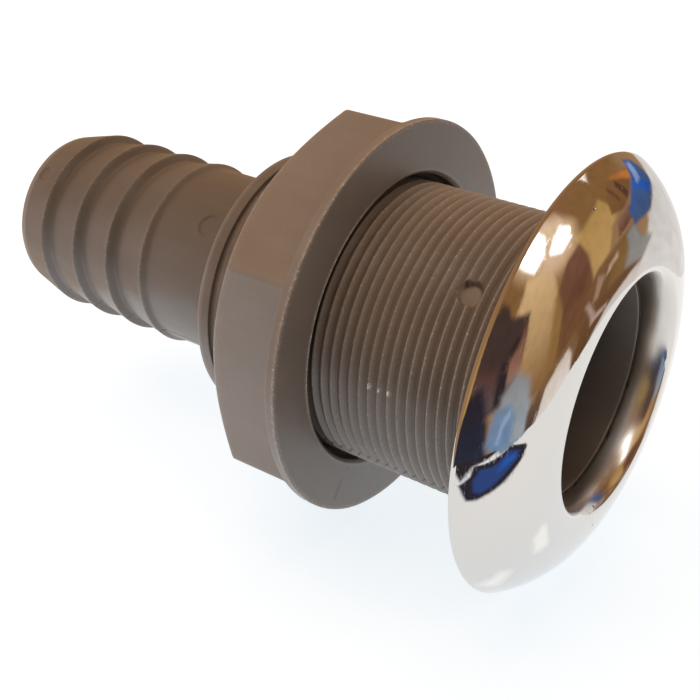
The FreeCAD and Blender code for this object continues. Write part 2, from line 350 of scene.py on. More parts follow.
def make_threaded_body():
    """The moulding: from the thread's end over flange, bore and tail to the thread's start."""
    # Finer where the round marks, the scuffs and the two parting lines are.
    angles = angle_list(2.25, [(28, 50, 0.55), (80, 86, 0.5), (125, 129, 0.5), (305, 309, 0.5)])
    shell = Shell(angles)
    gap = CAP_SHEET + CAP_CLEARANCE
    flange_step = CAP_HEM_RADIUS - CAP_CLEARANCE
    covered = dome(gap, gap, 12)
    hidden = [(x, r, 0, 1) for x, r in covered + lip(covered[-1], CAP_LIP_RADIUS + gap, 14)[1:]]
    front = [(THREAD_END_X, THREAD_ROOT, 0, 1), (0, THREAD_ROOT, 0.3, 1),
             (0, flange_step, 0, 4), (gap, flange_step, 0, 1)] + hidden + [
        (CAP_LIP_END_X - CAP_CLEARANCE, CAP_LIP_RADIUS + gap, 0, 1),
        (CAP_LIP_END_X - CAP_CLEARANCE, BARREL_BORE_RADIUS, 0.4, 1),
        (BORE_TAPER_START_X, BARREL_BORE_RADIUS, 3, 4), (BORE_TAPER_END_X, TAIL_BORE_RADIUS, 3, 4),
        (TAIL_TIP_X, TAIL_BORE_RADIUS, 0.5, 6), (TAIL_TIP_X, TAIL_TIP_RADIUS, 0.9, 3)]
    tail = []
    # The runs to the first barb and along the neck carry a round mark, so they are finer.
    for barb in range(BARB_COUNT):
        crest_x = FIRST_CREST_X + barb * BARB_PITCH
        foot = NECK_RADIUS if barb == BARB_COUNT - 1 else BARB_ROOT_RADIUS
        tail += [(crest_x, BARB_CREST_RADIUS, 0.22, 26 if barb == 0 else 8),
                 (crest_x + BARB_BACK_LENGTH, foot, 0.55, 3)]
    tail += [(NECK_MARK_X - 3.1, NECK_RADIUS, 0, 6), (NECK_MARK_X + 3.1, NECK_RADIUS, 0, 22),
             (BARREL_END_X, NECK_RADIUS, 0.35, 6),
             (BARREL_END_X, THREAD_ROOT, 0.6, 5), (RELIEF_START_X, THREAD_ROOT, 0.15, 3),
             (RELIEF_START_X, RELIEF_RADIUS, 0.1, 1), (THREAD_START_X, RELIEF_RADIUS, 0.1, 2),
             (THREAD_START_X, THREAD_ROOT, 0, 1)]
    rows = loft(front + tail, len(angles))
    first, last = shell.rings(skin(rows, angles))
    foot = first_foot(THREAD_PHASE_X - THREAD_PITCH / 2, THREAD_START_X)
    shell.screw(last, first, THREAD_START_X, THREAD_END_X, foot, barrel_surface)
    return shell.finish("threaded_body_moulding")


# ------------------------------------------------------------------ lock nut

def hexagon_radius(angles):
    """Distance from the axis to a hexagon with rounded corners."""
    flat = NUT_CORNER_RADIUS * math.cos(math.pi / 6)
    centre = (flat - NUT_CORNER_ROUND) / math.cos(math.pi / 6)
    sixth = math.pi / 3
    from_corner = (angles - NUT_PHASE + sixth / 2) % sixth - sixth / 2
    tangent = math.atan2(NUT_CORNER_ROUND / 2, centre + NUT_CORNER_ROUND * math.cos(math.pi / 6))
    rounded = centre * np.cos(from_corner) + np.sqrt(
        np.maximum(NUT_CORNER_ROUND ** 2 - (centre * np.sin(from_corner)) ** 2, 0))
    straight = flat / np.cos(sixth / 2 - np.abs(from_corner))
    return np.where(np.abs(from_corner) < tangent, rounded, straight)


def nut_ends():
    """Where the nut's rear face, and the thread inside it, end."""
    valley = THREAD_RADIUS + THREAD_CLEARANCE
    rear_x = NUT_CORNER_END_X - (NUT_CORNER_RADIUS - valley - NUT_BORE_CHAMFER) * NUT_CONE_SLOPE
    counterbore_x = NUT_FRONT_X - NUT_COUNTERBORE_DEPTH
    return rear_x, rear_x + NUT_BORE_CHAMFER, counterbore_x - (NUT_COUNTERBORE_RADIUS - valley)


def nut_bore(x, angle):
    """Radius of the nut's bore: its ridges stand in the valleys of the barrel's thread."""
    rear_x, bore_end_x, bore_front_x = nut_ends()
    rise = ridge_height(x, angle, THREAD_PHASE_X + THREAD_PITCH / 2)
    ends = np.minimum(x - bore_end_x, bore_front_x - x)
    return THREAD_RADIUS + THREAD_CLEARANCE - (THREAD_DEPTH - 0.1) * rise * smooth(ends, 0.0, 1.0)


def make_lock_nut():
    """The nut: from its counterbore over flange, hexagon and cone to the rear end of its thread."""
    corners = np.degrees(NUT_PHASE) + 60 * np.arange(6)
    nick_degrees = math.degrees(NICK_ANGLE)
    fine = [(c - 2.5, c + 2.5, 0.5) for c in corners % 360] + [(nick_degrees - 2, nick_degrees + 2, 0.5)]
    angles = angle_list(1.8, sorted(fine))
    shell = Shell(angles)
    valley = THREAD_RADIUS + THREAD_CLEARANCE
    rear_bore = valley + NUT_BORE_CHAMFER
    rear_x, bore_end_x, bore_front_x = nut_ends()
    flange_back = NUT_FRONT_X - NUT_FLANGE_THICKNESS
    hexagon = hexagon_radius(angles) + 0.04 * wander(-45.0, angles, 9.0, 5.0)
    edge_x = NUT_CORNER_END_X - (NUT_CORNER_RADIUS - hexagon) * NUT_CONE_SLOPE
    nick = NICK_DEPTH * (1 - smooth(np.abs(off_angle(angles, NICK_ANGLE)) * NUT_FLANGE_RADIUS, 0.2, 0.9))
    rim = NUT_FLANGE_RADIUS - nick + 0.05 * wander(-38.0, angles, 5.0, 8.0)
    # The hexagon's corners stand a little out past the flange.
    rim_back = np.maximum(rim, hexagon + 0.02)
    outside = [(bore_front_x, valley, 0, 1),
               (NUT_FRONT_X - NUT_COUNTERBORE_DEPTH, NUT_COUNTERBORE_RADIUS, 0.3, 2),
               (NUT_FRONT_X - NUT_COUNTERBORE_CHAMFER, NUT_COUNTERBORE_RADIUS, 0.15, 3),
               (NUT_FRONT_X, NUT_COUNTERBORE_RADIUS + NUT_COUNTERBORE_CHAMFER, 0.2, 2),
               (NUT_FRONT_X, rim, 0.3, 14), (flange_back, rim_back, 0.3, 4),
               (flange_back, hexagon, 0.25, 3), (edge_x, hexagon, 0.45, 12),
               (rear_x, rear_bore, 0.4, 10), (bore_end_x, valley, 0, 3)]
    rows = loft(outside, len(angles))
    first, last = shell.rings(rows)
    foot = first_foot(THREAD_PHASE_X, bore_end_x)
    shell.screw(last, first, bore_end_x, bore_front_x, foot, nut_bore)
    return shell.finish("lock_nut_moulding")


# ------------------------------------------------------------------ trim cap

def make_trim_cap():
    """The pressing: hem, rolled rim, dome and lip outside, and the same again a sheet inside."""
    angles = angle_list(1.0, [])
    shell = Shell(angles)
    face = dome(0, CAP_SHEET, 48)
    face_lip = lip(face[-1], CAP_LIP_RADIUS, 28)
    back = dome(CAP_SHEET, CAP_SHEET, 12)
    back_lip = lip(back[-1], CAP_LIP_RADIUS + CAP_SHEET, 14)
    roll = [(CAP_SHEET - CAP_SHEET * math.sin(a), CAP_RIM_RADIUS - CAP_SHEET + CAP_SHEET * math.cos(a))
            for a in np.linspace(math.pi / 2, 0, 9)]
    hem = [(HEM_CHAMFER, CAP_HEM_RADIUS), (0, CAP_HEM_RADIUS + HEM_CHAMFER)]
    outline = hem + roll + face[1:] + face_lip[1:] + (back + back_lip[1:])[::-1]
    loop = [(x, r, 0, 1) for x, r in outline] + [(CAP_SHEET, CAP_HEM_RADIUS, 0.2, 1)]
    # The pressed lip was trimmed by hand: its inner edge isn't quite true.
    ragged = CAP_LIP_RAGGED * np.clip(wander(0.0, angles, 3.0, 21.0) + wander(0.0, angles, 9.0, 2.0), 0, 1)
    rows = loft(loop, len(angles))
    inner_share = np.clip((CAP_LIP_END_X + 1.2 - rows[:, 0]) / 1.2, 0, 1)
    in_lip = (rows[:, 1] < CAP_LIP_RADIUS + CAP_SHEET + 0.3) & (rows[:, 0] > CAP_LIP_END_X - 0.1)
    rows[:, 0] += np.where(in_lip, inner_share, 0) * ragged
    first, last = shell.rings(rows)
    shell.join(last, first)
    return shell.finish("trim_cap_pressing")


# ------------------------------------------------------------------ materials

CHROME = (0.68, 0.665, 0.645)         # polished steel seen square on
PRESSED_STEEL = (0.50, 0.44, 0.38)
PIT = (0.12, 0.10, 0.09)
BODY_PLASTIC = (0.172, 0.142, 0.121), (0.194, 0.161, 0.138), (0.220, 0.186, 0.161)
NUT_PLASTIC = (0.184, 0.153, 0.131), (0.202, 0.168, 0.145), (0.220, 0.186, 0.161)
WORN_PLASTIC = (0.38, 0.33, 0.29)
SCRAPED_PLASTIC = (0.80, 0.76, 0.69)
# Colour of the dark mark: painted shade on the body, and a real bruise on the nut.
GRIME_AND_SHADE = (0.035, 0.026, 0.020)


class Nodes:
    """A short way to write a material's nodes."""

    def __init__(self, name):
        self.material = bpy.data.materials.new(name)
        self.material.use_nodes = True
        self.tree = self.material.node_tree
        self.tree.nodes.clear()

    def add(self, kind, inputs=None, **settings):
        node = self.tree.nodes.new(kind)
        for key, value in settings.items():
            setattr(node, key, value)
        for key, value in (inputs or {}).items():
            self.put(node.inputs[key], value)
        return node

    def put(self, socket, value):
        if isinstance(value, bpy.types.NodeSocket):
            self.tree.links.new(value, socket)
        else:
            socket.default_value = value

    def math(self, operation, *values, clamp=False):
        node = self.add("ShaderNodeMath", dict(enumerate(values)), operation=operation, use_clamp=clamp)
        return node.outputs[0]

    def between(self, value, low, high):
        """0 below low and 1 above high, or the other way round if low is the larger."""
        node = self.add("ShaderNodeMapRange", {"Value": value, "From Min": low, "From Max": high},
                        interpolation_type="SMOOTHSTEP")
        return node.outputs["Result"]

    def noise(self, vector, scale, detail=3.0, roughness=0.55):
        node = self.add("ShaderNodeTexNoise", {"Vector": vector, "Scale": scale, "Detail": detail,
                                               "Roughness": roughness})
        return node.outputs["Fac"]

    def mix(self, share, first, second):
        node = self.add("ShaderNodeMix", {0: share}, data_type="RGBA")
        for socket, value in ((node.inputs[6], first), (node.inputs[7], second)):
            self.put(socket, (*value, 1.0) if isinstance(value, tuple) else value)
        return node.outputs[2]

    def scaled(self, vector, amounts):
        node = self.add("ShaderNodeVectorMath", {0: vector, 1: amounts}, operation="MULTIPLY")
        return node.outputs[0]

    def bump(self, height, distance, strength=1.0, normal=None):
        inputs = {"Height": height, "Distance": distance, "Strength": strength}
        if normal is not None:
            inputs["Normal"] = normal
        return self.add("ShaderNodeBump", inputs).outputs["Normal"]

    def surface(self, **inputs):
        shader = self.add("ShaderNodeBsdfPrincipled", {k.replace("_", " "): v for k, v in inputs.items()})
        output = self.add("ShaderNodeOutputMaterial")
        self.tree.links.new(shader.outputs[0], output.inputs["Surface"])
        return self.material


def millimetres(nodes):
    """The place on the piece, in millimetres."""
    place = nodes.add("ShaderNodeTexCoord").outputs["Object"]
    return nodes.scaled(place, (1 / MM, 1 / MM, 1 / MM))


def from_axis(nodes, place):
    """Distance from the X axis."""
    y, z = nodes.add("ShaderNodeSeparateXYZ", {0: place}).outputs[1:]
    return nodes.math("SQRT", nodes.math("ADD", nodes.math("MULTIPLY", y, y), nodes.math("MULTIPLY", z, z)))


def make_plastic(name, dark, mid, light):
    """Moulded plastic: flow marks and grain, pale where it is worn, dark where grime lies and where shade is
    painted on.
    """
    n = Nodes(name)
    place = millimetres(n)
    broad = n.noise(place, 0.055, 3.0, 0.5)
    flow = n.noise(n.scaled(place, (0.05, 0.22, 0.22)), 1.0, 4.0, 0.6)
    grain = n.noise(place, 1.7, 4.0, 0.6)
    fine = n.noise(place, 6.0, 3.0, 0.6)
    colour = n.mix(n.between(broad, 0.35, 0.68), dark, mid)
    colour = n.mix(n.math("MULTIPLY", n.between(flow, 0.45, 0.75), 0.5), colour, light)
    colour = n.mix(n.math("MULTIPLY", n.between(grain, 0.55, 0.8), 0.18), colour, WORN_PLASTIC)
    wear = n.add("ShaderNodeAttribute", attribute_name="wear").outputs["Fac"]
    patchy = n.math("ADD", n.math("MULTIPLY", n.between(grain, 0.45, 0.65), 0.7), 0.3)
    colour = n.mix(n.math("MULTIPLY", wear, patchy, clamp=True), colour, WORN_PLASTIC)
    spots = n.between(n.noise(place, 1.9, 1.0, 0.5), 0.66, 0.72)
    speck = n.math("MULTIPLY", n.math("MULTIPLY", spots, n.between(wear, 0.2, 0.4)), 0.36)
    scraped = n.math("MULTIPLY", n.between(wear, 1.0, 2.0), patchy)
    colour = n.mix(n.math("MAXIMUM", speck, scraped), colour, SCRAPED_PLASTIC)
    # The dark mark: painted shade on the body, and a real bruise on the nut.
    grime_and_shade = n.add("ShaderNodeAttribute", attribute_name="grime_and_shade").outputs["Fac"]
    colour = n.mix(n.math("MULTIPLY", grime_and_shade, 0.8), colour, GRIME_AND_SHADE)
    rough = n.math("ADD", 0.25, n.math("MULTIPLY", broad, 0.14))
    rough = n.math("ADD", rough, n.math("MULTIPLY", grain, 0.1))
    normal = n.bump(grain, 0.00008, 0.5)
    normal = n.bump(fine, 0.00003, 0.5, normal)
    return n.surface(Base_Color=colour, Roughness=rough, Normal=normal, IOR=1.58)


def make_stainless():
    """Polished steel with faint buffing lines and a few pits, duller inside the mouth."""
    n = Nodes("polished_stainless")
    place = millimetres(n)
    pits = n.add("ShaderNodeTexVoronoi", {"Vector": place, "Scale": 0.16}, feature="F1")
    chosen = n.add("ShaderNodeSeparateColor", {0: pits.outputs["Color"]}).outputs[0]
    pit = n.math("MULTIPLY", n.between(pits.outputs["Distance"], 0.055, 0.03), n.between(chosen, 0.62, 0.64))
    waves = n.noise(place, 0.09, 2.0, 0.4)
    hair = n.noise(n.scaled(place, (3.0, 0.35, 0.35)), 1.0, 3.0, 0.7)
    scratch = n.noise(n.scaled(place, (0.5, 5.0, 0.25)), 1.0, 2.0, 0.5)
    # Inside the mouth the steel is as it was pressed, and only the outer face is buffed.
    unpolished = n.between(from_axis(n, place), CAP_MOUTH_RADIUS - 0.5, CAP_LIP_RADIUS + 0.3)
    colour = n.mix(n.math("MULTIPLY", pit, 0.8), CHROME, PIT)
    colour = n.mix(n.math("MULTIPLY", unpolished, 0.35), colour, PRESSED_STEEL)
    buffed = n.math("SUBTRACT", 1.0, unpolished)
    lines = n.math("ADD", n.math("MULTIPLY", n.between(hair, 0.5, 0.8), 0.05),
                   n.math("MULTIPLY", n.between(scratch, 0.62, 0.7), 0.08))
    rough = n.math("ADD", 0.03, n.math("MULTIPLY", lines, buffed))
    rough = n.math("ADD", rough, n.math("MULTIPLY", pit, 0.4))
    rough = n.math("ADD", rough, n.math("MULTIPLY", unpolished, 0.25))
    normal = n.bump(waves, 0.0010, 0.10)
    normal = n.bump(n.math("MULTIPLY", n.between(hair, 0.55, 0.7), buffed), 0.00001, 0.25, normal)
    normal = n.bump(n.math("SUBTRACT", 1.0, pit), 0.0001, 0.6, normal)
    return n.surface(Base_Color=colour, Metallic=1.0, Roughness=rough, Normal=normal)


# ------------------------------------------------------------------ wear, grime and painted shade

THREAD_WEAR = 0.32
BARB_WEAR = 0.5
# Painted shadow on the upper walls of the round marks; painted shade at the barbs' feet, in the thread
# grooves and in the waterway.
MARK_SHADOW, THREAD_MARK_SHADOW = 0.7, 1.0
BARB_FOOT_SHADE, GROOVE_SHADE, BORE_SHADE = 0.28, 0.46, 0.60
SCUFF_ANGLE = math.radians(83)
SCUFFS = ((-25.6, 0.75), (-22.9, 0.9), (-21.0, 0.85), (-17.6, 0.5))    # place along X and size
COUNTERBORE_WORN_ANGLE = math.radians(62)
BRUISE_ANGLE, BRUISE_RADIUS, BRUISE_HALF_LENGTH = math.radians(144), 35.6, 3.7


def set_mark(mesh, name, values):
    """Give each point of a piece a share of wear, or of grime and painted shade, which its material then
    shows.
    """
    layer = mesh.attributes.new(name, "FLOAT", "POINT")
    layer.data.foreach_set("value", np.clip(values, 0, 2).astype(np.float32))


def polar_points(mesh):
    """Each point's place along X, angle and radius, in millimetres."""
    places = np.empty(len(mesh.vertices) * 3, dtype=np.float32)
    mesh.vertices.foreach_get("co", places)
    places = places.reshape(-1, 3).astype(float) / MM
    return places[:, 0], np.arctan2(-places[:, 1], places[:, 2]), np.hypot(places[:, 1], places[:, 2])


def is_on_thread(x, radius):
    """Whether points lie on the outside of the barrel."""
    return (x > BARREL_END_X + 1) & (x < -1) & (radius > THREAD_ROOT - 1)


def mark_body_wear(mesh):
    """Pale thread crests and barb crests, and a row of scuffs where the thread was knocked."""
    x, angle, radius = polar_points(mesh)
    crests = THREAD_WEAR * smooth(radius, THREAD_RADIUS - 0.28, THREAD_RADIUS - 0.02)
    wear = np.where(is_on_thread(x, radius), crests, 0)
    on_crest = radius > BARB_CREST_RADIUS - 0.3
    for barb in range(BARB_COUNT):
        crest_x = FIRST_CREST_X + barb * BARB_PITCH
        wear = np.maximum(wear, BARB_WEAR * (1 - smooth(np.abs(x - crest_x), 0.1, 0.5)) * on_crest)
    across = off_angle(angle, SCUFF_ANGLE) * THREAD_RADIUS
    for scuff_x, scuff_size in SCUFFS:
        scuff = 1 - smooth(np.hypot(x - scuff_x, across), scuff_size * 0.5, scuff_size)
        wear = np.maximum(wear, np.where(radius > THREAD_RADIUS - 0.6, 2.2 * scuff, 0))
    set_mark(mesh, "wear", wear)


def mark_body_painted_shade(mesh):
    """Painted shadow on the upper edges of the round marks, and painted shade at the feet of the barbs, in
    the thread grooves and in the waterway.
    """
    x, angle, radius = polar_points(mesh)
    grime_and_shade = np.zeros(len(x))
    # The round marks: a painted shadow along each recess's upper wall, where light from above leaves it dark.
    for mark_x, mark_radius, surface, share in (
            (BARB_MARK_X, BARB_MARK_RADIUS, BARB_MARK_SKIN, MARK_SHADOW),
            (NECK_MARK_X, NECK_MARK_RADIUS, NECK_RADIUS, MARK_SHADOW),
            (THREAD_MARK_X, THREAD_MARK_RADIUS, THREAD_ROOT, THREAD_MARK_SHADOW)):
        across = off_angle(angle, MARK_ANGLE) * surface
        ring = 1 - smooth(np.abs(np.hypot(x - mark_x, across) - mark_radius + 0.1), 0.15, 0.55)
        upper_shadow = smooth(-across / mark_radius, -0.1, 0.5)
        grime_and_shade = np.maximum(grime_and_shade, np.where(radius > surface - 1.2, share * ring * upper_shadow, 0))
    # The barbs' feet: painted shade in the crease behind each crest.
    on_barb = radius > BARB_ROOT_RADIUS - 0.4
    for barb in range(BARB_COUNT):
        behind = x - FIRST_CREST_X - barb * BARB_PITCH
        foot = smooth(behind, 0.2, 0.6) * (1 - smooth(behind, BARB_BACK_LENGTH, BARB_BACK_LENGTH + 1.4))
        grime_and_shade = np.maximum(grime_and_shade, BARB_FOOT_SHADE * foot * on_barb)
    # The thread grooves: painted shade, darker towards the root.
    grooves = GROOVE_SHADE * (1 - smooth(radius, THREAD_ROOT + 0.1, THREAD_ROOT + 0.8))
    in_groove = is_on_thread(x, radius) & (radius > THREAD_ROOT - 0.3)
    grime_and_shade = np.maximum(grime_and_shade, np.where(in_groove, grooves, 0))
    # The waterway: painted shade all through the bore.
    in_bore = (radius < BARREL_BORE_RADIUS + 0.2) & (x < 0) & (x > TAIL_TIP_X + 2)
    set_mark(mesh, "grime_and_shade", np.maximum(grime_and_shade, BORE_SHADE * in_bore))


def mark_nut_wear(mesh):
    """Pale rim, counterbore edge and rear edge, and a scraped stretch of the counterbore's edge."""
    x, angle, radius = polar_points(mesh)
    from_rim = np.hypot(x - NUT_FRONT_X, radius - NUT_FLANGE_RADIUS)
    from_bore = np.hypot(x - NUT_FRONT_X, radius - NUT_COUNTERBORE_RADIUS - NUT_COUNTERBORE_CHAMFER)
    hexagon_end = NUT_CORNER_END_X - (NUT_CORNER_RADIUS - radius) * NUT_CONE_SLOPE
    from_rear = np.hypot(x - hexagon_end, radius - hexagon_radius(angle))
    scraped = 1 - smooth(np.abs(off_angle(angle, COUNTERBORE_WORN_ANGLE)), 0.5, 1.0)
    set_mark(mesh, "wear", np.maximum.reduce([0.9 * (1 - smooth(from_rim, 0.15, 0.8)),
                                              (0.5 + 1.3 * scraped) * (1 - smooth(from_bore, 0.25, 0.9)),
                                              0.35 * (1 - smooth(from_rear, 0.1, 0.7))]))


def mark_nut_grime(mesh):
    """A short dark bruise, slightly bowed, on the flange's front face."""
    x, angle, radius = polar_points(mesh)
    bow = 0.012 * (radius - 40) ** 2
    across = off_angle(angle, BRUISE_ANGLE) * radius - bow
    along = np.maximum(np.abs(radius - BRUISE_RADIUS) - BRUISE_HALF_LENGTH, 0)
    bruise = 1 - smooth(np.hypot(across, along), 0.15, 0.5)
    set_mark(mesh, "grime_and_shade", 0.5 * bruise * (x > NUT_FRONT_X - 0.2))


# ------------------------------------------------------------------ pieces

body, body_mesh = make_threaded_body()
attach(body, "fitting")
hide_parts("threaded_body")
mark_body_wear(body_mesh)
# Painted shade in the body's recesses, grooves and waterway.
mark_body_painted_shade(body_mesh)
body_mesh.materials.append(make_plastic("taupe_body_plastic", *BODY_PLASTIC))

nut, nut_mesh = make_lock_nut()
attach(nut, "nut")
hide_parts("lock_nut")
mark_nut_wear(nut_mesh)
mark_nut_grime(nut_mesh)
nut_mesh.materials.append(make_plastic("taupe_nut_plastic", *NUT_PLASTIC))

cap, cap_mesh = make_trim_cap()
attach(cap, "cap")
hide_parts("trim_cap")
cap_mesh.materials.append(make_stainless())

# ------------------------------------------------------------------ studio

FLOOR_Z = cad_box[0][2]
FLOOR_HALF_SIDE = 3.0
FLOOR_COLOUR = (0.30, 0.30, 0.30)
FLOOR_GLOW, FLOOR_GLOW_COLOUR = 0.86, (0.88, 0.95, 1.0)
BACKDROP_RADIUS, BACKDROP_TOP, BACKDROP_SIDES, BACKDROP_LIGHT = 2.8, 2.5, 60, 0.95
WORLD_LIGHT = 0.02
ROOM_RADIUS = 0.155
ROOM_FOOT, ROOM_STEP = -2, 0.75       # degrees: its lowest points, and the step between points
ROOM_MOTTLE = 0.10                    # how much its light varies from place to place

# The room is what the polished cap reflects: cards on the inside of a dome that stands on the
# floor and that only reflections see. A card is an outline in degrees (azimuth from +X towards
# +Y, height above the floor), the softness of its edge, and its colours at the foot and the head.
CARDS = {
    "walls": ([(-180, 0), (180, 0), (180, 95), (-180, 95)], 1, (150, 118, 84), (128, 92, 62)),
    "gold_strip": ([(-84, 22), (-76, 44), (-62, 62), (-54, 58), (-62, 42), (-66, 22)], 1.5, (170, 138, 76),
                   (150, 118, 60)),
    "ceiling": ([(-66, 48), (95, 48), (95, 95), (-66, 95)], 5, (124, 88, 50), (128, 92, 64)),
    "gold_wall": ([(-24, 12), (-28, 30), (-24, 46), (-34, 50), (-26, 60), (-4, 60), (-1, 50), (3, 34),
                   (6, 12)], 2, (124, 88, 52), (206, 170, 122)),
    "tan_wall": ([(24, 28), (30, 31), (38, 33), (44, 42), (52, 44), (50, 57), (18, 58)], 1.5, (184, 146, 92),
                 (166, 130, 76)),
    "halo": ([(-44, 67), (-22, 59), (20, 57), (26, 64), (18, 72), (-10, 80), (-36, 76)], 6,
             (200, 164, 120), (226, 196, 166)),
    "halo_low": ([(-12, 58), (2, 52), (16, 55), (14, 64), (-10, 64)], 5, (196, 160, 126), (214, 180, 150)),
    "door_edge": ([(-4, 12), (-2, 44), (4, 48), (8, 12)], 3, (134, 98, 56), (140, 104, 60)),
    "door": ([(6, 12), (5, 34), (1, 46), (8, 53), (20, 54), (24, 46), (28, 30), (28, 8)], 1.5, (108, 74, 46),
             (106, 70, 52)),
    "door_panel": ([(8, 34), (20, 32), (24, 42), (19, 52), (10, 50)], 4, (94, 58, 42), (116, 78, 62)),
    "cabinet": ([(26, -2), (24, 26), (30, 32), (56, 32), (60, 8), (46, -2)], 2, (92, 62, 38), (116, 84, 56)),
    "cabinet_side": ([(42, 14), (40, 28), (50, 31), (54, 14)], 2, (124, 94, 56), (120, 88, 52)),
    "chair_back": ([(24.5, 21), (26.5, 22), (36, 10), (46, 7), (46, 5), (35, 7.5)], 0.6, (170, 144, 130),
                   (158, 130, 114)),
    "chair_arm": ([(30, 19), (31, 29), (36, 25), (34, 17)], 1.2, (150, 120, 100), (152, 120, 98)),
    "chair_light": ([(37, 23), (38, 27), (44, 28), (44, 25)], 0.8, (176, 146, 122), (170, 140, 114)),
    "table_edge": ([(-12, 8), (0, 14), (20, 17), (27, 10), (24, 0), (-12, 0)], 1.5,
                   (118, 88, 64), (120, 88, 58)),
    "paper_rise": ([(-4, -2), (2, 9), (10, 12), (18, 13), (22, 9), (25, 3), (28, -2)], 1.2,
                   (216, 208, 200), (198, 180, 164)),
    "tall_shape": ([(-60, 18), (-58, 46), (-50, 57), (-42, 55), (-38, 50), (-22, 48), (-26, 26), (-38, 18)],
                   1.5, (64, 48, 46), (66, 50, 44)),
    "tall_shape_red": ([(-38, 24), (-36, 34), (-28, 40), (-24, 46), (-25, 28)], 2,
                       (150, 110, 94), (108, 66, 48)),
    "tall_shape_fold": ([(-37, 38), (-31, 42), (-27, 41), (-33, 37)], 1.2, (52, 38, 36), (52, 38, 36)),
    "tall_shape_hem": ([(-60, 26), (-58, 36), (-44, 34), (-42, 20), (-50, 16)], 3,
                       (92, 80, 82), (84, 54, 46)),
    "navy_foot": ([(-90, -2), (-84, 18), (-70, 24), (-52, 30), (-44, 14), (-42, -2)], 3, (38, 42, 56),
                  (42, 34, 38)),
    "dark_leg": ([(-42, 20), (-40, 36), (-35, 36), (-34, 22)], 1.2, (44, 36, 40), (48, 38, 40)),
    "pale_window": ([(-34, -2), (-36, 22), (-26, 28), (-16, 22), (-9, 6), (-9, -2)], 3,
                    (150, 158, 162), (134, 132, 134)),
    "blue_window": ([(-44, 4), (-40, 18), (-28, 17), (-22, 10), (-24, 0), (-34, -2)], 2.5,
                    (100, 126, 158), (112, 130, 152)),
    "blue_window_fold": ([(-36, 3), (-33, 12), (-27, 15), (-26, 12), (-31, 9), (-33, 2)], 1.2,
                         (134, 156, 184), (134, 154, 180)),
    "dark_gap": ([(-12, -2), (-12, 8), (-5, 12), (0, 8), (-4, -2)], 2, (66, 56, 52), (110, 84, 62)),
    "pale_side": ([(56, -2), (60, 12), (62, 22), (66, 27), (110, 30), (110, -2)], 2, (206, 200, 195),
                  (190, 184, 178)),
    "pale_floor_side": ([(36, -2), (44, 3), (58, 9), (64, -2)], 1.5, (202, 192, 184), (186, 174, 164)),
    "grey_side": ([(50, 14), (50, 30), (56, 31), (58, 22), (64, 18), (58, 10)], 1.5, (140, 134, 126),
                  (128, 128, 126)),
    "shelf": ([(48, 46), (52, 52), (64, 55), (74, 50), (80, 42), (56, 41)], 1, (112, 76, 46), (120, 86, 54)),
    "shelf_line": ([(56, 46), (58, 54), (60, 54), (58, 45)], 0.7, (92, 62, 40), (96, 64, 42)),
    "shelf_gap": ([(62, 42), (64, 50), (68, 51), (66, 42)], 0.8, (82, 52, 36), (88, 56, 36)),
    "orange_book": ([(66, 54), (71, 52), (80, 42), (75, 41)], 0.8, (180, 108, 52), (156, 100, 50)),
    "shelf_front": ([(46, 34), (48, 41), (60, 40), (58, 34)], 1, (96, 60, 46), (128, 92, 74)),
    "blue_cloth": ([(56, 30), (57, 38), (66, 41), (86, 42), (89, 36), (87, 28), (68, 27)], 1, (64, 78, 106),
                   (58, 86, 138)),
    "blue_fold": ([(70, 40), (74, 40), (80, 34), (84, 28), (76, 30)], 0.8, (38, 72, 140), (46, 86, 166)),
    "blue_shine": ([(74, 38), (84, 41), (87, 38), (80, 35)], 0.8, (120, 140, 184), (128, 146, 186)),
    "corner_lamp": ([(61, 64), (66, 70), (74, 65)], 1, (255, 244, 232), (255, 244, 232)),
}
# The ceiling's two lamps: outline and softness as above.
LAMPS = {
    "long_lamp": ([(-41, 69.5), (-30, 74.5), (-12, 75), (-5, 70), (-9, 65), (-20, 62)], 2.2),
    "short_lamp": ([(-3, 63), (4, 66.5), (12, 67.5), (20, 64), (14, 60.5), (6, 59.5)], 1.8),
}
LAMP_STRENGTH = 3.2


def linear(colour):
    """Scene light for a display colour from 0 to 255."""
    share = np.asarray(colour, float) / 255
    return np.where(share <= 0.04045, share / 12.92, ((share + 0.055) / 1.055) ** 2.4)


def inside_card(across, up, outline, softness):
    """1 inside an outline and 0 outside, with a soft edge."""
    corners = np.array(outline, float)
    nearest = np.full(across.shape, np.inf)
    inside = np.zeros(across.shape, bool)
    for (x0, y0), (x1, y1) in zip(corners, np.roll(corners, -1, axis=0)):
        run_x, run_y = x1 - x0, y1 - y0
        share = np.clip(((across - x0) * run_x + (up - y0) * run_y) / (run_x ** 2 + run_y ** 2), 0, 1)
        away = np.hypot(across - x0 - share * run_x, up - y0 - share * run_y)
        nearest = np.minimum(nearest, away)
        crosses = (y0 > up) != (y1 > up)
        slope = run_x / run_y if run_y else 0
        inside ^= crosses & (across < x0 + (up - y0) * slope)
    return smooth(np.where(inside, nearest, -nearest), -softness, softness)


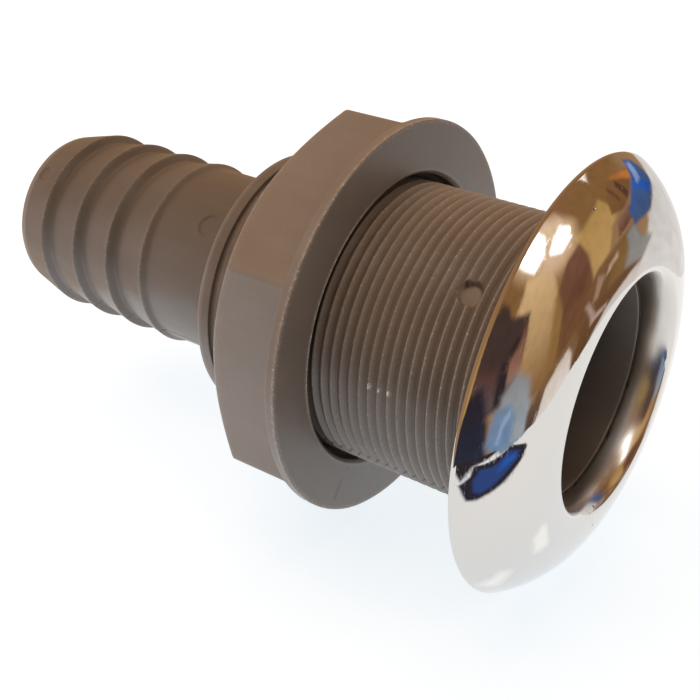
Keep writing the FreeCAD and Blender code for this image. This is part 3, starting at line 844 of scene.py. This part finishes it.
def room_light(across, up):
    """The light that the room sends from each direction, before the steel tints it."""
    light = np.zeros((len(across), 3))
    for outline, softness, foot, head in CARDS.values():
        heights = [corner[1] for corner in outline]
        share = np.clip((up - min(heights)) / (max(heights) - min(heights)), 0, 1)[:, None]
        colour = linear(foot) * (1 - share) + linear(head) * share
        cover = inside_card(across, up, outline, softness)[:, None]
        light = light * (1 - cover) + colour * cover
    for outline, softness in LAMPS.values():
        cover = inside_card(across, up, outline, softness)[:, None]
        light = light * (1 - cover) + LAMP_STRENGTH * cover
    broad = [noise.noise(Vector((a * 0.22, h * 0.22, 1.0))) for a, h in zip(across, up)]
    fine = [noise.noise(Vector((a * 0.7, h * 0.7, 5.0))) for a, h in zip(across, up)]
    mottle = np.array(broad) + 0.6 * np.array(fine)
    return light * (1 + ROOM_MOTTLE * mottle)[:, None] / np.array(CHROME)


def reflected_only(obj):
    """Seen in reflections, but neither by the camera nor as light on the pieces."""
    obj.visible_camera = False
    obj.visible_diffuse = False
    obj.visible_shadow = False
    obj.visible_transmission = False
    obj.visible_volume_scatter = False


def glowing_mesh(name, places, faces, light):
    """A mesh that gives off its own light, one colour for each point, and that reflections see."""
    mesh = bpy.data.meshes.new(name)
    mesh.from_pydata([tuple(p) for p in places], [], faces)
    layer = mesh.color_attributes.new("glow", "FLOAT_COLOR", "POINT")
    layer.data.foreach_set("color", np.column_stack([light, np.ones(len(light))]).ravel().astype(np.float32))
    n = Nodes(name)
    glow = n.add("ShaderNodeAttribute", attribute_name="glow").outputs["Color"]
    shine = n.add("ShaderNodeEmission", {"Color": glow, "Strength": 1.0})
    output = n.add("ShaderNodeOutputMaterial")
    n.tree.links.new(shine.outputs[0], output.inputs["Surface"])
    mesh.materials.append(n.material)
    for polygon in mesh.polygons:
        polygon.use_smooth = True
    obj = bpy.data.objects.new(name, mesh)
    bpy.context.collection.objects.link(obj)
    reflected_only(obj)
    return obj


def grid_faces(wide, deep):
    """Faces of a grid of points, whose rows of wide points follow one another."""
    return [(low, low + 1, low + wide + 1, low + wide)
            for row in range(deep - 1) for low in range(row * wide, row * wide + wide - 1)]


def make_room():
    """The dome that the cap reflects, lit by its cards and lamps."""
    across = np.arange(-180, 180 + ROOM_STEP / 2, ROOM_STEP)
    up = np.arange(ROOM_FOOT, 90 + ROOM_STEP / 2, ROOM_STEP)
    grid_across, grid_up = (g.ravel() for g in np.meshgrid(across, up))
    turn, lift = np.radians(grid_across), np.radians(grid_up)
    level = np.cos(lift)
    places = ROOM_RADIUS * np.column_stack([level * np.cos(turn), level * np.sin(turn), np.sin(lift)])
    places[:, 2] += FLOOR_Z
    glowing_mesh("room", places, grid_faces(len(across), len(up)), room_light(grid_across, grid_up))


# Cards that lie on the floor in front of the cap: outline in (X, Y) millimetres, softness of the
# edge in millimetres, and colour.
FLOOR_CARDS = {
    "dark_cloth": ([(50, -98), (62, -141), (78, -150), (150, -90), (128, -82), (84, -107)], 3, (44, 38, 42)),
    "pale_cloth": ([(118, -72), (136, -52), (152, -24), (156, -60), (130, -88)], 4, (118, 134, 152)),
    "case": ([(38, -74), (46, -66), (100, -25), (114, -21), (121, -24), (134, -56), (120, -68), (84, -106),
              (66, -96), (44, -94)], 2, (42, 38, 46)),
    "case_face": ([(50, -76), (52, -68), (102, -36), (114, -36), (122, -58), (96, -70), (82, -92), (62, -88)],
                  3, (46, 66, 118)),
    "case_shine": ([(84, -62), (104, -40), (112, -42), (108, -58)], 5, (40, 86, 160)),
    "near_glint": ([(20, -14), (27, -14), (31, -7), (30, -4), (22, -7)], 1.4, (234, 232, 226)),
    "far_glint": ([(3, -27), (10, -26), (11, -24), (4, -24.5)], 1.8, (232, 232, 230)),
}
FLOOR_CARDS_X, FLOOR_CARDS_Y = (-4, 172), (-156, 0)     # the sheet that carries them, millimetres
FLOOR_CARD_STEP, FLOOR_CARD_LIFT = 1.0, 0.2             # between its points, and above the floor
FLOOR_CARD_LEAST = 0.02                 # a face with a smaller share of any card is left out
FLOOR_SHADE = (217, 215, 212)           # the bare floor round the cards, as the cap reflects it


def make_floor_cards():
    """The floor cards as one sheet just above the floor, cut away where it carries no card."""
    columns = np.arange(*FLOOR_CARDS_X, FLOOR_CARD_STEP)
    rows = np.arange(*FLOOR_CARDS_Y, FLOOR_CARD_STEP)
    x, y = (g.ravel() for g in np.meshgrid(columns, rows))
    light = np.tile(linear(FLOOR_SHADE), (len(x), 1))
    covered = np.zeros(len(x))
    for outline, softness, colour in FLOOR_CARDS.values():
        cover = inside_card(x, y, outline, softness)
        covered = np.maximum(covered, cover)
        light = light * (1 - cover[:, None]) + linear(colour) * cover[:, None]
    places = np.column_stack([x * MM, y * MM, np.full(len(x), FLOOR_Z + FLOOR_CARD_LIFT * MM)])
    faces = [face for face in grid_faces(len(columns), len(rows))
             if max(covered[face[0]], covered[face[2]]) > FLOOR_CARD_LEAST]
    glowing_mesh("floor_cards", places, faces, light / np.array(CHROME))


def make_floor():
    """A plain pale floor that glows a little and so lights the pieces from below."""
    n = Nodes("floor")
    paper = n.add("ShaderNodeBsdfDiffuse", {"Color": (*FLOOR_COLOUR, 1.0)})
    glow = n.add("ShaderNodeEmission", {"Color": (*FLOOR_GLOW_COLOUR, 1.0), "Strength": FLOOR_GLOW})
    both = n.add("ShaderNodeAddShader", {0: paper.outputs[0], 1: glow.outputs[0]})
    output = n.add("ShaderNodeOutputMaterial")
    n.tree.links.new(both.outputs[0], output.inputs["Surface"])
    side = FLOOR_HALF_SIDE
    mesh = bpy.data.meshes.new("floor")
    mesh.from_pydata([(-side, -side, FLOOR_Z), (side, -side, FLOOR_Z), (side, side, FLOOR_Z),
                      (-side, side, FLOOR_Z)], [], [(0, 1, 2, 3)])
    floor = bpy.data.objects.new("floor", mesh)
    floor.data.materials.append(n.material)
    bpy.context.collection.objects.link(floor)


def make_backdrop():
    """A pale round wall and ceiling far from everything, which only the camera sees.

    The wall's foot is as bright as the floor's own glow, so that no edge shows between them.
    """
    turns = np.radians(np.arange(0, 360, 360 / BACKDROP_SIDES))
    places = [(BACKDROP_RADIUS * math.cos(t), BACKDROP_RADIUS * math.sin(t), z)
              for z in (FLOOR_Z, BACKDROP_TOP) for t in turns]
    count = len(turns)
    faces = [(k, (k + 1) % count, count + (k + 1) % count, count + k) for k in range(count)]
    faces.append(tuple(range(count, 2 * count)))
    foot = FLOOR_GLOW * np.array(FLOOR_GLOW_COLOUR)
    light = np.concatenate([np.tile(foot, (count, 1)), np.full((count, 3), BACKDROP_LIGHT)])
    wall = glowing_mesh("backdrop", places, faces, light)
    wall.visible_camera = True
    wall.visible_glossy = False


def area_light(name, place, size, power, colour, aim=(0, 0, 0)):
    """A round soft light that isn't seen itself: the cap reflects the room instead of it."""
    light = bpy.data.lights.new(name, "AREA")
    light.shape = "DISK"
    light.size = size
    light.energy = power
    light.color = colour
    obj = bpy.data.objects.new(name, light)
    obj.location = place
    obj.rotation_mode = "QUATERNION"
    obj.rotation_quaternion = (Vector(aim) - Vector(place)).to_track_quat("-Z", "Y")
    obj.visible_glossy = False
    obj.visible_camera = False
    bpy.context.collection.objects.link(obj)


make_floor()
make_backdrop()
make_room()
make_floor_cards()

# Each light's place and size are in metres and its power is in watts.
area_light("overhead", (-0.30, -0.15, 0.85), 1.2, 8.2, (1.0, 0.73, 0.51))
area_light("behind", (-0.10, 0.85, 0.45), 1.0, 6.8, (1.0, 0.76, 0.58))
area_light("left", (-0.80, -0.45, 0.05), 0.5, 4.8, (0.92, 0.90, 1.0))
area_light("outboard", (0.60, -0.05, 0.65), 0.5, 1.3, (1.0, 0.78, 0.60))
area_light("bounce", (-0.155, -0.075, FLOOR_Z + 0.001), 0.12, 0.12, (0.78, 0.88, 1.0),
           aim=(-0.155, -0.075, 1.0))

world = bpy.data.worlds.new("studio")
bpy.context.scene.world = world
world.use_nodes = True
background = world.node_tree.nodes["Background"]
background.inputs["Color"].default_value = (1.0, 1.0, 1.0, 1.0)
background.inputs["Strength"].default_value = WORLD_LIGHT

# ------------------------------------------------------------------ camera

LENS, SENSOR_WIDTH = 59.66, 36.0                # millimetres
CAMERA_PLACE = (0.0745, -0.17552, 0.11798)
CAMERA_DIP, CAMERA_TURN = 31.017, 35.379        # degrees below level, and from +Y towards -X

camera = bpy.data.cameras.new("camera")
camera.sensor_width = SENSOR_WIDTH
camera.lens = LENS
camera.clip_start = 0.01
camera.clip_end = 20.0
view = bpy.data.objects.new("camera", camera)
view.location = CAMERA_PLACE
view.rotation_euler = (math.radians(90 - CAMERA_DIP), 0, math.radians(CAMERA_TURN))
bpy.context.collection.objects.link(view)
bpy.context.scene.camera = view
bpy.context.scene.view_settings.view_transform = "Standard"
